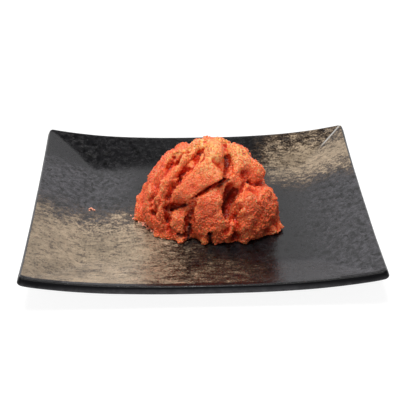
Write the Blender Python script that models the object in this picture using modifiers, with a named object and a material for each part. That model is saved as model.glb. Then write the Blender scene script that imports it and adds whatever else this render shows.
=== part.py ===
"""Seasoned cod roe, scooped into a craggy heap on a shallow rectangular stoneware plate.

The plate lies in the X-Y plane with its long side along X and its front along -Y. The origin is the
centre of the foot's underside, and Z points up. The heap rests on the plate's flat floor.
"""

import math

import bmesh
import bpy
from mathutils import Matrix, Vector, noise

MM = 0.001
WELD = 0.01 * MM

# Plate: sizes over the rim, and heights over the surface that the foot stands on. The edge bands are the
# faces whose normal's height is under BAND_SLANT.
RIM_LENGTH = 200 * MM
RIM_DEPTH = 160 * MM
PLATE_THICKNESS = 4.4 * MM
FLOOR_HEIGHT = 8 * MM
CORNER_RISE = 15.7 * MM
LONG_SIDE_DIP = 8.4 * MM
SHORT_SIDE_DIP = 2.6 * MM
DIP_POWER = 2.7
WALL_RUN = 31 * MM
WALL_FILLET = 2 * MM
CREASE_FILLET = 1.2 * MM
CORNER_ROUNDING = 3 * MM
UPPER_EDGE_ROUNDING = 1.7 * MM
LOWER_EDGE_ROUNDING = 0.9 * MM
SHARP_ANGLE = math.radians(45)
BAND_SLANT = 0.6
HAND_WAVE = 0.35 * MM
HAND_WAVE_LENGTH = 34 * MM
WALL_LINES = [step * MM for step in (0, 2, 6, 11, 16, 21, 25, 28, 31, 34, 38)]
FLOOR_LINE_SPACING = 14 * MM

# Foot: a plain low ring under the flat of the plate
FOOT_LENGTH = 116 * MM
FOOT_DEPTH = 78 * MM
FOOT_CORNER_RADIUS = 16 * MM
FOOT_WIDTH = 5 * MM
FOOT_ROUNDING = 0.7 * MM
FOOT_ROOT = 1.5 * MM

# Heap: a dome with folds of roe laid over it. A fold runs over the dome from one point to another, in mm,
# with heights over the plate's floor. Then come its half width, how far it stands out, and how wide its
# slopes are to the right and to the left of someone who walks along it: a small figure is a cliff.
DOME_CENTRE = (4, 0, 0)
DOME_RADII = (45.5, 34.5, 52.5)
DOME_POWER = 2.25
DOME_TURN = -12
FOLD_FLOOR_DEPTH = 6.5
FOLD_END_SLOPE = 3
FOLDS = {
    "outer_upper": ((2, 1, 52), (-24, -8, 42), 5, 6, 4, 7),
    "outer_lower": ((-23, -9, 42), (-37, -13, 8), 5, 5, 4, 5),
    "second": ((-2, -7, 51.5), (-18, -20, 37), 4.3, 6.5, 1.5, 7),
    "main_top": ((9, 3, 52.5), (9, -15, 49), 6.5, 7, 1.5, 4),
    "main": ((11, -18, 46), (-12, -28.5, 27), 9, 7, 1.5, 1.5),
    "right_upper": ((21, 1, 50), (29, -14, 43), 10, 6.5, 5, 5),
    "right_knob": ((30, -8, 43), (37, -14, 33), 6, 7.5, 2.5, 2.5),
    "buttress": ((20, -17, 46), (23, -26, 36), 6, 4.5, 3, 3),
    "block": ((33, -22, 31), (37, -30, 0), 14, 7.5, 1.8, 2.5),
    "block_toe": ((40, -27, 2.5), (50.5, -22.5, 1.5), 3.2, 11.5, 1.6, 1.6),
    "middle": ((5, -29, 36), (4, -35, 0), 9.5, 5.5, 3, 3),
    "middle_right": ((12, -31, 26), (15, -35, 0), 6, 6.5, 3, 2),
    "low_lump": ((-12, -29, 21), (-13, -31, 2), 5, 6, 2.5, 2),
    "column": ((-22, -17, 38), (-25.5, -25, 6), 4.5, 6.5, 2, 2),
    "left_low": ((-31, -14, 27), (-34, -18, 3), 5.5, 6, 3, 2),
    "left_skirt": ((-37, 8, 7), (-38, -10, 3), 5, 6, 2, 3),
    "left_toe": ((-15, -30, 3), (-26, -25, 4), 4, 5.5, 2, 2),
    "front_lump": ((-15, -33.5, 1.5), (-9, -34.5, 1.5), 3, 9, 1.5, 1.5),
    "crown_back": ((-4, 7, 50), (20, 8, 48), 6, 4.5, 4, 4),
    "back_left": ((-29, 18, 10), (-33, 14, 2), 6, 4.5, 2, 4),
    "back_ridge": ((-4, 22, 33), (-17, 29, 3), 7, 6, 4, 2),
    "back_middle": ((8, 17, 42), (4, 34, 2), 8, 6, 2, 5),
    "back_right": ((22, 12, 40), (30, 24, 2), 8, 6, 4, 2),
    "right_side": ((42, -2, 17), (46, 4, 2), 7, 3.5, 2, 4),
    "block_side": ((43, -13, 24), (47, -16, 2), 6, 7.5, 1.8, 3),
}

# Cuts: hollows between the folds, as thin lenses. Each runs from one point to another in mm, with its
# half width across the gap and its half depth into the heap, which points at CUT_AIM.
CUTS = {
    "main_crack": ((21, -20, 42.5), (-15, -26.5, 20.5), 1.8, 11),
    "main_crack_end": ((-8, -27, 23), (-24, -22, 19.5), 1.9, 8),
    "right_pit": ((19.5, -24, 36), (14.5, -33, 17), 3, 11),
    "block_crack": ((19, -33, 21.5), (30, -31, 21), 1.1, 7),
    "column_recess": ((-20, -25, 28), (-20.5, -28, 10), 2.6, 11),
    "left_groove": ((-27.5, -17, 31), (-31, -18, 16), 1.6, 9),
    "front_gap": ((-7.5, -34, 14), (-7, -34, -1), 1.6, 10),
    "second_groove": ((3, -3, 50), (-16.5, -20.5, 29), 1.6, 8),
    "outer_groove": ((-4, -1, 50.5), (-22, -11, 35), 1.4, 6),
    "valley": ((17.5, -5, 50), (15, -20, 40.5), 1.5, 7),
    "ledge": ((24, -20.5, 35.5), (41, -13, 28), 1.4, 7),
    "front_notch": ((6, -35, 6), (6, -35, -1), 1.4, 8),
}

CUT_AIM = (4, 0, 14)

HEAP_GAP = 0.3 * MM
BALL_DIVISIONS = 7
REMESH_SIZE = 1.1 * MM
EDGE_WANDER = 2.6
EDGE_WANDER_SIZE = 5
CLUMP_SIZE = 8 * MM
CLUMP_RELIEF = 1.4 * MM
CRAG_SIZE = 3 * MM
CRAG_RELIEF = 1.2 * MM
HEAP_TRIANGLES = 15000
BASE_CUTTER_DEPTH = 60 * MM

GLAZE_BLACK = (0.035, 0.033, 0.034, 1)
ROE_ORANGE = (0.72, 0.19, 0.065, 1)


def remove_everything():
    for old in list(bpy.data.objects):
        bpy.data.objects.remove(old, do_unlink=True)


def new_collection(name):
    collection = bpy.data.collections.new(name)
    bpy.context.scene.collection.children.link(collection)
    return collection


def new_object(name, shape, collection):
    item = bpy.data.objects.new(name, shape)
    collection.objects.link(item)
    return item


def new_material(name, color, roughness):
    material = bpy.data.materials.new(name)
    material.use_nodes = True
    shader = material.node_tree.nodes["Principled BSDF"]
    shader.inputs["Base Color"].default_value = color
    shader.inputs["Roughness"].default_value = roughness
    shader.inputs["Metallic"].default_value = 0
    return material


def as_helper(item):
    """Marks an object that only shapes others."""
    item.hide_render = True
    item.display_type = "WIRE"


def apply_modifiers(item):
    """Replaces the object's mesh by its evaluated one and drops the modifiers."""
    graph = bpy.context.evaluated_depsgraph_get()
    shape = bpy.data.meshes.new_from_object(item.evaluated_get(graph))
    item.modifiers.clear()
    item.data = shape


def smooth_max(first, second, fillet):
    """The higher of two heights, with a fillet where they differ by less than the fillet's size."""
    near = max(1 - abs(first - second) / fillet, 0)
    return max(first, second) + near * near * fillet / 4


def rim_rise(along):
    """Height of the rim over the floor, as (long side, short side), at a place from -1 to 1 along it."""
    dip = 1 - min(abs(along), 1) ** DIP_POWER
    return CORNER_RISE - LONG_SIDE_DIP * dip, CORNER_RISE - SHORT_SIDE_DIP * dip


def plate_height(x, y):
    """Height of the plate's upper face: a flat floor, and four sloping walls that meet in valleys."""
    from_end = RIM_LENGTH / 2 - abs(x)
    from_side = RIM_DEPTH / 2 - abs(y)
    long_rise = rim_rise(x / (RIM_LENGTH / 2))[0]
    short_rise = rim_rise(y / (RIM_DEPTH / 2))[1]
    end_wall = short_rise * (1 - from_end / WALL_RUN)
    side_wall = long_rise * (1 - from_side / WALL_RUN)
    wall = smooth_max(end_wall, side_wall, CREASE_FILLET)
    height = smooth_max(wall, 0, WALL_FILLET)
    sway = noise.noise(Vector((x, y, 0)) / HAND_WAVE_LENGTH)
    return FLOOR_HEIGHT + height + HAND_WAVE * sway * min(height / CORNER_RISE, 1)


def lines_across(length):
    """Grid lines over one side of the plate: close on the walls, wide apart on the floor."""
    half = length / 2
    floor_half = half - WALL_LINES[-1]
    count = math.ceil(2 * floor_half / FLOOR_LINE_SPACING)
    floor = [-floor_half + 2 * floor_half * step / count for step in range(1, count)]
    low_wall = [-half + run for run in WALL_LINES]
    return low_wall + floor + [-place for place in reversed(low_wall)]


def split_along_valleys(mesh):
    """Splits the cells on the plate's diagonals so that an edge follows each valley."""
    for face in list(mesh.faces):
        runs = {}
        for vertex in face.verts:
            from_end = RIM_LENGTH / 2 - abs(vertex.co.x)
            from_side = RIM_DEPTH / 2 - abs(vertex.co.y)
            if abs(from_end - from_side) < WELD:
                runs[from_end] = vertex
        if len(runs) == 2:
            bmesh.ops.connect_verts(mesh, verts=list(runs.values()))


def plate_sheet():
    """The plate's upper face as an open sheet, from a grid whose lines are moved into place."""
    columns = lines_across(RIM_LENGTH)
    rows = lines_across(RIM_DEPTH)
    mesh = bmesh.new()
    bmesh.ops.create_grid(mesh, x_segments=len(columns) - 1, y_segments=len(rows) - 1, size=1)
    for vertex in mesh.verts:
        column = round((vertex.co.x + 1) / 2 * (len(columns) - 1))
        row = round((vertex.co.y + 1) / 2 * (len(rows) - 1))
        vertex.co.x = columns[column]
        vertex.co.y = rows[row]
    split_along_valleys(mesh)
    for vertex in mesh.verts:
        vertex.co.z = plate_height(vertex.co.x, vertex.co.y)
    shape = bpy.data.meshes.new("plate")
    mesh.to_mesh(shape)
    mesh.free()
    return shape


def rounded_rectangle(length, depth, radius, arc_steps=5):
    """Outline points of a rectangle with round corners, counter-clockwise."""
    points = []
    for quarter in range(4):
        side_x = 1 if quarter in (0, 3) else -1
        side_y = 1 if quarter in (0, 1) else -1
        centre = Vector((side_x * (length / 2 - radius), side_y * (depth / 2 - radius)))
        for step in range(arc_steps + 1):
            angle = (quarter + step / arc_steps) * math.pi / 2
            points.append(centre + radius * Vector((math.cos(angle), math.sin(angle))))
    return points


def foot_ring(collection):
    """The foot as a flat outline with a hole, extruded and rounded, and welded into a mesh."""
    curve = bpy.data.curves.new("foot", "CURVE")
    curve.dimensions = "2D"
    curve.fill_mode = "BOTH"
    tall = FLOOR_HEIGHT - PLATE_THICKNESS + FOOT_ROOT
    curve.extrude = tall / 2 - FOOT_ROUNDING
    curve.bevel_depth = FOOT_ROUNDING
    curve.bevel_resolution = 1
    for inset in (FOOT_ROUNDING, FOOT_WIDTH - FOOT_ROUNDING):
        outline = rounded_rectangle(
            FOOT_LENGTH - 2 * inset, FOOT_DEPTH - 2 * inset, FOOT_CORNER_RADIUS - inset
        )
        spline = curve.splines.new("POLY")
        spline.points.add(len(outline) - 1)
        spline.use_cyclic_u = True
        for point, place in zip(spline.points, outline):
            point.co = (place.x, place.y, 0, 1)
    guide = new_object("foot_guide", curve, collection)
    guide.location.z = tall / 2
    bpy.context.view_layer.update()
    graph = bpy.context.evaluated_depsgraph_get()
    shape = bpy.data.meshes.new_from_object(guide.evaluated_get(graph))
    shape.transform(guide.matrix_world)
    bpy.data.objects.remove(guide)
    mesh = bmesh.new()
    mesh.from_mesh(shape)
    bmesh.ops.remove_doubles(mesh, verts=mesh.verts, dist=WELD)
    bmesh.ops.recalc_face_normals(mesh, faces=mesh.faces)
    mesh.to_mesh(shape)
    mesh.free()
    return new_object("foot", shape, collection)


def bevel_rim(item):
    """Rounds the plate's four corners, then its rim: a broad soft upper edge and a tighter lower one."""
    mesh = bmesh.new()
    mesh.from_mesh(item.data)
    for choose, rounding, steps in (
        (is_corner_edge, CORNER_ROUNDING, 3),
        (is_upper_edge, UPPER_EDGE_ROUNDING, 2),
        (is_lower_edge, LOWER_EDGE_ROUNDING, 1),
    ):
        edges = [edge for edge in mesh.edges if choose(edge)]
        bmesh.ops.bevel(
            mesh,
            geom=edges,
            offset=rounding,
            segments=steps,
            profile=0.5,
            affect="EDGES",
            clamp_overlap=True,
        )
    mesh.to_mesh(item.data)
    mesh.free()


def is_corner_edge(edge):
    """True on the four steep edges where two edge bands meet."""
    steep = all(abs(face.normal.z) < BAND_SLANT for face in edge.link_faces)
    return steep and is_sharp(edge)


def is_upper_edge(edge):
    """True where an edge band meets the plate's upper face."""
    normals = sorted(face.normal.z for face in edge.link_faces)
    return normals[-1] > BAND_SLANT > normals[0] and is_sharp(edge)


def is_lower_edge(edge):
    """True where an edge band meets the plate's lower face."""
    normals = sorted(face.normal.z for face in edge.link_faces)
    return normals[0] < -BAND_SLANT < normals[-1] and is_sharp(edge)


def is_sharp(edge):
    return edge.calc_face_angle() > SHARP_ANGLE


def make_plate(parts, helpers):
    plate = new_object("plate", plate_sheet(), parts)
    wall = plate.modifiers.new("thickness", "SOLIDIFY")
    wall.thickness = PLATE_THICKNESS
    wall.offset = -1
    wall.use_even_offset = True
    apply_modifiers(plate)
    bevel_rim(plate)
    foot = foot_ring(helpers)
    join = plate.modifiers.new("foot", "BOOLEAN")
    join.operation = "UNION"
    join.object = foot
    apply_modifiers(plate)
    bpy.data.objects.remove(foot)
    plate.data.materials.clear()
    plate.data.materials.append(new_material("plate", GLAZE_BLACK, 0.35))
    return plate


def over_floor(place):
    """A point given in mm with its height over the plate's floor, in metres."""
    return Vector(place) * MM + Vector((0, 0, FLOOR_HEIGHT))


def smooth_step(value, low, high):
    """Goes from 0 at low to 1 at high, flat at both."""
    part = min(max((value - low) / (high - low), 0), 1)
    return part * part * (3 - 2 * part)


def fold_height(place, fold):
    """How far one fold stands out at a place on the dome, all in mm from the dome's centre."""
    start, end, half_width, height, right_slope, left_slope = fold
    first = Vector(start) - Vector(DOME_CENTRE)
    last = Vector(end) - Vector(DOME_CENTRE)
    way = last - first
    along = (place - first).dot(way.normalized())
    aside = place.dot(first.cross(last).normalized())
    if aside < -half_width or aside > half_width:
        return 0
    ends = smooth_step(along, -FOLD_END_SLOPE, FOLD_END_SLOPE)
    ends *= smooth_step(way.length - along, -FOLD_END_SLOPE, FOLD_END_SLOPE)
    right = smooth_step(aside, -half_width, -half_width + right_slope)
    left = smooth_step(-aside, -half_width, -half_width + left_slope)
    return height * ends * right * left


def heap_point(direction):
    """The heap's surface in a direction from the dome's centre, in mm: the dome, and its highest fold."""
    turned = Matrix.Rotation(math.radians(-DOME_TURN), 3, "Z") @ direction
    reach = sum(abs(part / radius) ** DOME_POWER for part, radius in zip(turned, DOME_RADII))
    on_dome = direction * reach ** (-1 / DOME_POWER)
    wander = EDGE_WANDER * noise.noise_vector(on_dome / EDGE_WANDER_SIZE)
    stands_out = max(fold_height(on_dome + wander, fold) for fold in FOLDS.values())
    return on_dome + direction * (stands_out - FOLD_FLOOR_DEPTH)


def roe_body():
    """The heap's body: a fine ball whose points are moved out to the heap's surface."""
    mesh = bmesh.new()
    bmesh.ops.create_icosphere(mesh, subdivisions=BALL_DIVISIONS, radius=1)
    for vertex in mesh.verts:
        vertex.co = over_floor(heap_point(vertex.co.normalized()) + Vector(DOME_CENTRE))
    shape = bpy.data.meshes.new("roe_heap")
    mesh.to_mesh(shape)
    mesh.free()
    return shape


def lens_cutter(name, start, end, half_width, half_depth, collection):
    """A thin ellipsoid along a gap, lying with its depth towards the middle of the heap."""
    first, last = over_floor(start), over_floor(end)
    along = (last - first).normalized()
    middle = (first + last) / 2
    inward = over_floor(CUT_AIM) - middle
    inward = (inward - inward.project(along)).normalized()
    across = inward.cross(along)
    turn = Matrix((along, across, inward)).transposed().to_4x4()
    size = Matrix.Diagonal(((last - first).length / 2, half_width * MM, half_depth * MM, 1))
    mesh = bmesh.new()
    bmesh.ops.create_icosphere(
        mesh, subdivisions=4, radius=1, matrix=Matrix.Translation(middle) @ turn @ size
    )
    shape = bpy.data.meshes.new(name)
    mesh.to_mesh(shape)
    mesh.free()
    cutter = new_object(name, shape, collection)
    as_helper(cutter)
    return cutter


def remesh(item, name):
    """Turns whatever the object's shells enclose into one even skin."""
    skin = item.modifiers.new(name, "REMESH")
    skin.mode = "VOXEL"
    skin.voxel_size = REMESH_SIZE
    apply_modifiers(item)


def raise_crags(item):
    """Pushes the skin in and out: broad clumps first, then smaller crags."""
    for size, relief in ((CLUMP_SIZE, CLUMP_RELIEF), (CRAG_SIZE, CRAG_RELIEF)):
        shape = item.data
        moves = [
            vertex.normal * relief * noise.noise(vertex.co / size)
            for vertex in shape.vertices
        ]
        for vertex, move in zip(shape.vertices, moves):
            vertex.co += move
        shape.update()


def cut_flat_base(item, collection):
    """Cuts the heap flat, a hair above the plate's floor."""
    mesh = bmesh.new()
    bmesh.ops.create_cube(mesh, size=1)
    shape = bpy.data.meshes.new("base_cutter")
    mesh.to_mesh(shape)
    mesh.free()
    cutter = new_object("base_cutter", shape, collection)
    as_helper(cutter)
    shape.transform(Matrix.Diagonal((RIM_LENGTH, RIM_DEPTH, BASE_CUTTER_DEPTH, 1)))
    cutter.location.z = FLOOR_HEIGHT + HEAP_GAP - BASE_CUTTER_DEPTH / 2
    base = item.modifiers.new("base", "BOOLEAN")
    base.operation = "DIFFERENCE"
    base.object = cutter
    apply_modifiers(item)
    bpy.data.objects.remove(cutter)


def keep_largest_shell(item):
    """Drops the loose scraps that a cut has left."""
    mesh = bmesh.new()
    mesh.from_mesh(item.data)
    left = set(mesh.verts)
    shells = []
    while left:
        shell = {left.pop()}
        edge_of_shell = list(shell)
        while edge_of_shell:
            vertex = edge_of_shell.pop()
            near = {edge.other_vert(vertex) for edge in vertex.link_edges} & left
            left -= near
            shell |= near
            edge_of_shell.extend(near)
        shells.append(shell)
    shells.sort(key=len)
    for scrap in shells[:-1]:
        bmesh.ops.delete(mesh, geom=list(scrap), context="VERTS")
    mesh.to_mesh(item.data)
    mesh.free()


def make_heap(parts, cutters):
    heap = new_object("roe_heap", roe_body(), parts)
    remesh(heap, "skin")
    for name, (start, end, half_width, half_depth) in CUTS.items():
        lens_cutter(name, start, end, half_width, half_depth, cutters)
    carve = heap.modifiers.new("cuts", "BOOLEAN")
    carve.operation = "DIFFERENCE"
    carve.operand_type = "COLLECTION"
    carve.collection = cutters
    carve.solver = "MANIFOLD"
    bpy.context.view_layer.update()
    apply_modifiers(heap)
    for cutter in list(cutters.objects):
        bpy.data.objects.remove(cutter)
    remesh(heap, "skin")
    raise_crags(heap)
    remesh(heap, "skin")
    thin = heap.modifiers.new("fewer faces", "DECIMATE")
    thin.ratio = HEAP_TRIANGLES / sum(len(face.vertices) - 2 for face in heap.data.polygons)
    thin.use_collapse_triangulate = True
    apply_modifiers(heap)
    cut_flat_base(heap, cutters)
    keep_largest_shell(heap)
    heap.data.materials.clear()
    heap.data.materials.append(new_material("roe_heap", ROE_ORANGE, 0.4))
    heap.data.shade_smooth()
    return heap


def main():
    remove_everything()
    parts = new_collection("mentaiko_on_plate")
    cutters = new_collection("cutters")
    make_plate(parts, cutters)
    make_heap(parts, cutters)


main()
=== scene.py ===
"""Mentaiko on its plate: loose seasoned cod roe in a craggy heap on a shallow stoneware plate.

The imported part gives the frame. The plate, the heap of roe, its loose eggs and the crumbs are built
over it at true size, in metres, with the plate's front along -Y and the table at z = 0.
"""

import math
import random
from contextlib import contextmanager

import bmesh
import bpy
import numpy as np
from bpy.props import FloatProperty, FloatVectorProperty, IntProperty, PointerProperty
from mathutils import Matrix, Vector, noise


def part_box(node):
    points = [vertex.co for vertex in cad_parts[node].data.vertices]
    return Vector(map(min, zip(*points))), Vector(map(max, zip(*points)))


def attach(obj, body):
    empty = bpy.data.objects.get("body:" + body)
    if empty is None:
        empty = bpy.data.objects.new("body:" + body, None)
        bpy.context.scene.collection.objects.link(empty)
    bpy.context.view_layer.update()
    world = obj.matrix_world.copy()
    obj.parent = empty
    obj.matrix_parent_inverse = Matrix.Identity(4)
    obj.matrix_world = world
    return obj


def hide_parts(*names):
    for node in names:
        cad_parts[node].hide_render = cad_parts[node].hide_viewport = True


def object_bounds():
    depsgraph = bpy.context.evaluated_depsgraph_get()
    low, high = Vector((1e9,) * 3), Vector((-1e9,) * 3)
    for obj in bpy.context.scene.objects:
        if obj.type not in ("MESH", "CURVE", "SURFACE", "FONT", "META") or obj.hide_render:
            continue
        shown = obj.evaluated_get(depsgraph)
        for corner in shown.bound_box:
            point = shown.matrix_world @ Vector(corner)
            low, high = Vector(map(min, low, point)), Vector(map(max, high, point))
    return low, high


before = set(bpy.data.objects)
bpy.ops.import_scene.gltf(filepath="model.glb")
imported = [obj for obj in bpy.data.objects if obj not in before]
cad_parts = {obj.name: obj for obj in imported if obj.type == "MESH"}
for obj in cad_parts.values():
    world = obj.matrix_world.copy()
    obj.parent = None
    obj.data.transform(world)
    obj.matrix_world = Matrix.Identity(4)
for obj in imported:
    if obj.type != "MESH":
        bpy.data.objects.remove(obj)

bl_info = {
    "name": "Mentaiko on its plate",
    "version": (1, 0, 0),
    "blender": (4, 5, 0),
    "location": "View3D > Sidebar > Mentaiko",
    "description": "Builds a heap of loose cod roe on a glazed rectangular plate",
    "category": "Object",
}

MM = 0.001
CAD_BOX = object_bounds()
FLOOR_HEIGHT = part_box("roe_heap")[0].z - 0.3 * MM
PLATE_TOLERANCE = 0.1 * MM

# The photograph's camera: its place, tilt below the horizon, turn, and lens on a 36 mm sensor
CAMERA_PLACE = (-0.01343, -0.45238, 0.33192)
CAMERA_TILT = 34.81
CAMERA_TURN = -1.72
CAMERA_LENS = 80.22

# Small pieces of roe that have fallen on the plate: x, y in mm, width in mm and how many eggs
CRUMBS = (
    (-40.6, -6.2, 2.2, 5),
    (-42.6, -3.2, 1.6, 2),
    (-68.9, 4.2, 3.0, 4),
    (-67.0, 4.5, 1.8, 3),
    (-65.6, 3.6, 1.2, 2),
    (-37.0, -9.0, 3.4, 10),
    (-34.3, -12.6, 3.8, 12),
    (-31.2, -16.0, 4.0, 13),
    (-28.2, -19.2, 4.0, 13),
    (-25.3, -23.2, 3.6, 11),
    (-22.4, -26.2, 3.2, 9),
)
# How high a crumb's eggs lie over the floor, and how much higher some in a large clump, in mm
CRUMB_LIFT = 0.42
SECOND_LAYER = 0.55

# The edges where one fold of roe overlaps the next, each from top to bottom: points in mm over the
# plate's floor, then how far the edge stands out and how deep the groove at its left is, in mm
FOLD_EDGES = {
    "second_fold": (
        ((-5.3, -0.8, 49.4), (-10.4, -2.8, 46.9), (-14, -4.5, 43.9), (-15.6, -5.7, 38.1),
         (-19.2, -11.7, 36.6), (-23, -17.9, 34.8), (-24.4, -20.2, 28.5), (-29.2, -16.7, 19.4)),
        0.9, 1.5,
    ),
    "main_fold": (
        ((4.6, -7.6, 51.4), (1.7, -5.2, 45.8), (-0.4, -10.9, 44.7), (-4.1, -14.9, 41.2),
         (-9.7, -14.3, 35.8), (-12.3, -22.1, 36.1), (-15.3, -19.4, 29.2), (-17.8, -20.7, 23.8)),
        1.6, 2.2,
    ),
    "right_fold": (
        ((16.8, 3.5, 46.2), (17.8, -6.9, 46.6), (18.4, -13.7, 43.8), (19.7, -19.2, 41.3)),
        0.6, 1.2,
    ),
    "block": (
        ((26.5, -18, 32.6), (23.9, -22.5, 30), (20.9, -27.9, 28.6), (19.6, -27.6, 21.7)),
        1.4, 1.2,
    ),
    "block_foot": (
        ((24.2, -31.8, 24.4), (21, -29.7, 17.7), (17.6, -33.4, 14.2), (15.4, -34.9, 8.5)),
        1.2, 1.4,
    ),
    "column": (((-23.3, -22.1, 24.3), (-24.3, -23.4, 19.7), (-24.1, -24.9, 13.9)), 1.2, 1),
    "low_lump": (
        ((-14.5, -19.8, 16.9), (-17.8, -22.4, 13.9), (-18.5, -27.7, 10.2), (-16.3, -28.2, 4.2)),
        1.2, 1.2,
    ),
    "middle": (
        ((-1.6, -29.9, 28.7), (-5, -30.1, 22.8), (-6.5, -26.4, 12.7), (-5.1, -28.2, 6.5)),
        1, 1.6,
    ),
}

# The seed of the noise that tears the folds' edges. Blender seeds it from the clock otherwise.
TEAR_SEED = 7

# How far a fold's edge stands out, drops and is grooved to either side, in mm
FOLD_WIDTH = 8
EDGE_WIDTH = 0.8
GROOVE_WIDTH = 4.2

# Cracks and pits: points in mm over the plate's floor, then half width and depth in mm
CRACKS = {
    "main_crack": (
        ((16, -21.5, 38.4), (10.2, -21.8, 34.3), (5.6, -23, 31.4), (-0.4, -25.3, 28.8),
         (-6, -28.6, 26.9), (-10.9, -21.4, 19.9), (-17.1, -20.4, 16.6)),
        1.1, 2.6,
    ),
    "valley": (((15.5, -7.1, 44.4), (16.2, -9.8, 41.9), (14.9, -15, 40.9), (14, -22.6, 41.3)), 1.5, 2),
    "pit": (((19.4, -21.1, 29.6), (17.1, -21.3, 25.3), (15, -23, 21.6), (14, -27.1, 17.5)), 2.6, 4.2),
    "ledge": (((27.6, -16.1, 32.9), (31.2, -16.2, 30.5), (36.3, -17.2, 29.1)), 1, 1.8),
    "recess": (((-19.8, -20.1, 18.5), (-20.7, -23.5, 15.3), (-18.5, -24.5, 11.6)), 1.6, 2.4),
    "left_crack": (
        ((-28.1, -17, 21.5), (-29.8, -17.9, 17.2), (-28.4, -19.3, 13.1), (-25.8, -24.4, 11.7)),
        1.1, 2.2,
    ),
    "front_gap": (((-7.8, -29.7, 10.2), (-8.5, -31, 6.1), (-8.6, -32.5, 0)), 2.1, 10),
    "lump_foot": (((-13.8, -29.8, 5.4), (-10.2, -31.1, 5)), 1, 2.5),
    "front_notch": (((5, -34.5, 7.8), (5.4, -34.6, 2.2), (5.5, -34.8, 0)), 1.9, 8),
    "middle_crack": (((-6, -29.6, 22.5), (-8.1, -27.8, 15.7), (-7.4, -28.7, 10.7)), 1.2, 2.6),
    "block_foot_crack": (((27.4, -34, 11.4), (24.6, -33.7, 7.4), (20.7, -32.4, 4)), 0.9, 1.2),
}

# The cracks that lie in the dark, painted with a shadow: their half width in mm and how dark it is
DARK_GAPS = {
    "main_crack": (1.2, 0.8),
    "pit": (3.2, 0.85),
    "front_gap": (2.2, 1),
    "lump_foot": (1.3, 0.9),
    "front_notch": (1.8, 1),
    "valley": (2.2, 0.5),
    "recess": (1.8, 0.5),
    "middle_crack": (1.4, 0.4),
}
# The place in the heap that they point at, in mm over the plate's floor
HEAP_MIDDLE = np.array((4, 0, 14))

# The main crack as cut in the solid: its two ends and the way into the heap, in mm over the plate's
# floor, its half width, and how much narrower it becomes
CRACK_SQUEEZE = ((21, -20, 42.5), (-15, -26.5, 20.5), (1, 23.25, -17.5), 1.8, 2.1)

# Where the heap's foot spreads at the front left, in mm over the plate's floor, and by how much
FOOT_SPREAD = ((-36, -6), (-17, -28), 2.6)

# Colours of the plate that aren't among its settings, among them a painted sheen, a painted highlight
# and painted reflections
THIN_GOLD = (0.03, 0.018, 0.01, 1)
THICK_GOLD = (0.34, 0.265, 0.182, 1)
SHEEN_AND_MOTTLE_GLAZE = (0.064, 0.063, 0.072, 1)
PIT_BLACK = (0.001, 0.001, 0.001, 1)
CREASE_HIGHLIGHT = (0.5, 0.49, 0.47, 1)
SIDE_REFLECTION_GLAZE = (0.02, 0.02, 0.024, 1)
LIGHT_CLAY = (0.4, 0.31, 0.24, 1)
RIM_TOP = (0.005, 0.005, 0.006, 1)
RIM_SIDE_REFLECTION = ((0.045, 0.045, 0.049, 1), (0.075, 0.074, 0.08, 1))

# Colours of the roe that aren't among its settings, among them painted light and painted shade, and
# what tints the loose eggs
RED_FLESH = (0.82, 0.14, 0.055, 1)
LIT_TOP_FLESH = (1.0, 0.56, 0.2, 1)
SHADED_FOOT_FLESH = (0.78, 0.1, 0.025, 1)
DEEP_SHADE_FLESH = (0.1, 0.008, 0.004, 1)
GAP_SHADE_FLESH = (0.06, 0.006, 0.004, 1)
PALE_CRUMB = (1.0, 0.82, 0.58, 1)
EGG_TINT = (1.05, 0.69, 0.68)


# Settings


def length_setting(name, description, size):
    """A length among the settings, its default given in mm."""
    return FloatProperty(name=name, description=description, default=size * MM, unit="LENGTH")


def color_setting(name, description, red, green, blue):
    """A colour among the settings."""
    return FloatVectorProperty(
        name=name, description=description, subtype="COLOR", size=4, default=(red, green, blue, 1)
    )


def power_setting(name, description, watts):
    """A light's power among the settings."""
    return FloatProperty(name=name, description=description, default=watts, unit="POWER")


class PlateSettings(bpy.types.PropertyGroup):
    length: length_setting("Length", "Long side over the rim", 199.7)
    depth: length_setting("Depth", "Short side over the rim", 159.7)
    thickness: length_setting("Thickness", "Thickness of the wall", 4.9)
    corner_rise: length_setting("Corner rise", "Corners over the floor", 15.7)
    long_dip: length_setting(
        "Long side dip", "How far the middle of a long side lies below the corners", 8.4
    )
    short_dip: length_setting(
        "Short side dip", "How far the middle of a short side lies below the corners", 2.6
    )
    wall_run: length_setting("Wall run", "Width of the sloping border", 31)
    glaze: color_setting("Glaze", "Black of the glaze", 0.005, 0.005, 0.006)
    gold: color_setting("Gold", "Sprayed gold at two opposite corners", 0.12, 0.08, 0.05)
    clay: color_setting("Clay", "Bare stoneware under the foot", 0.3, 0.22, 0.16)


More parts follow.
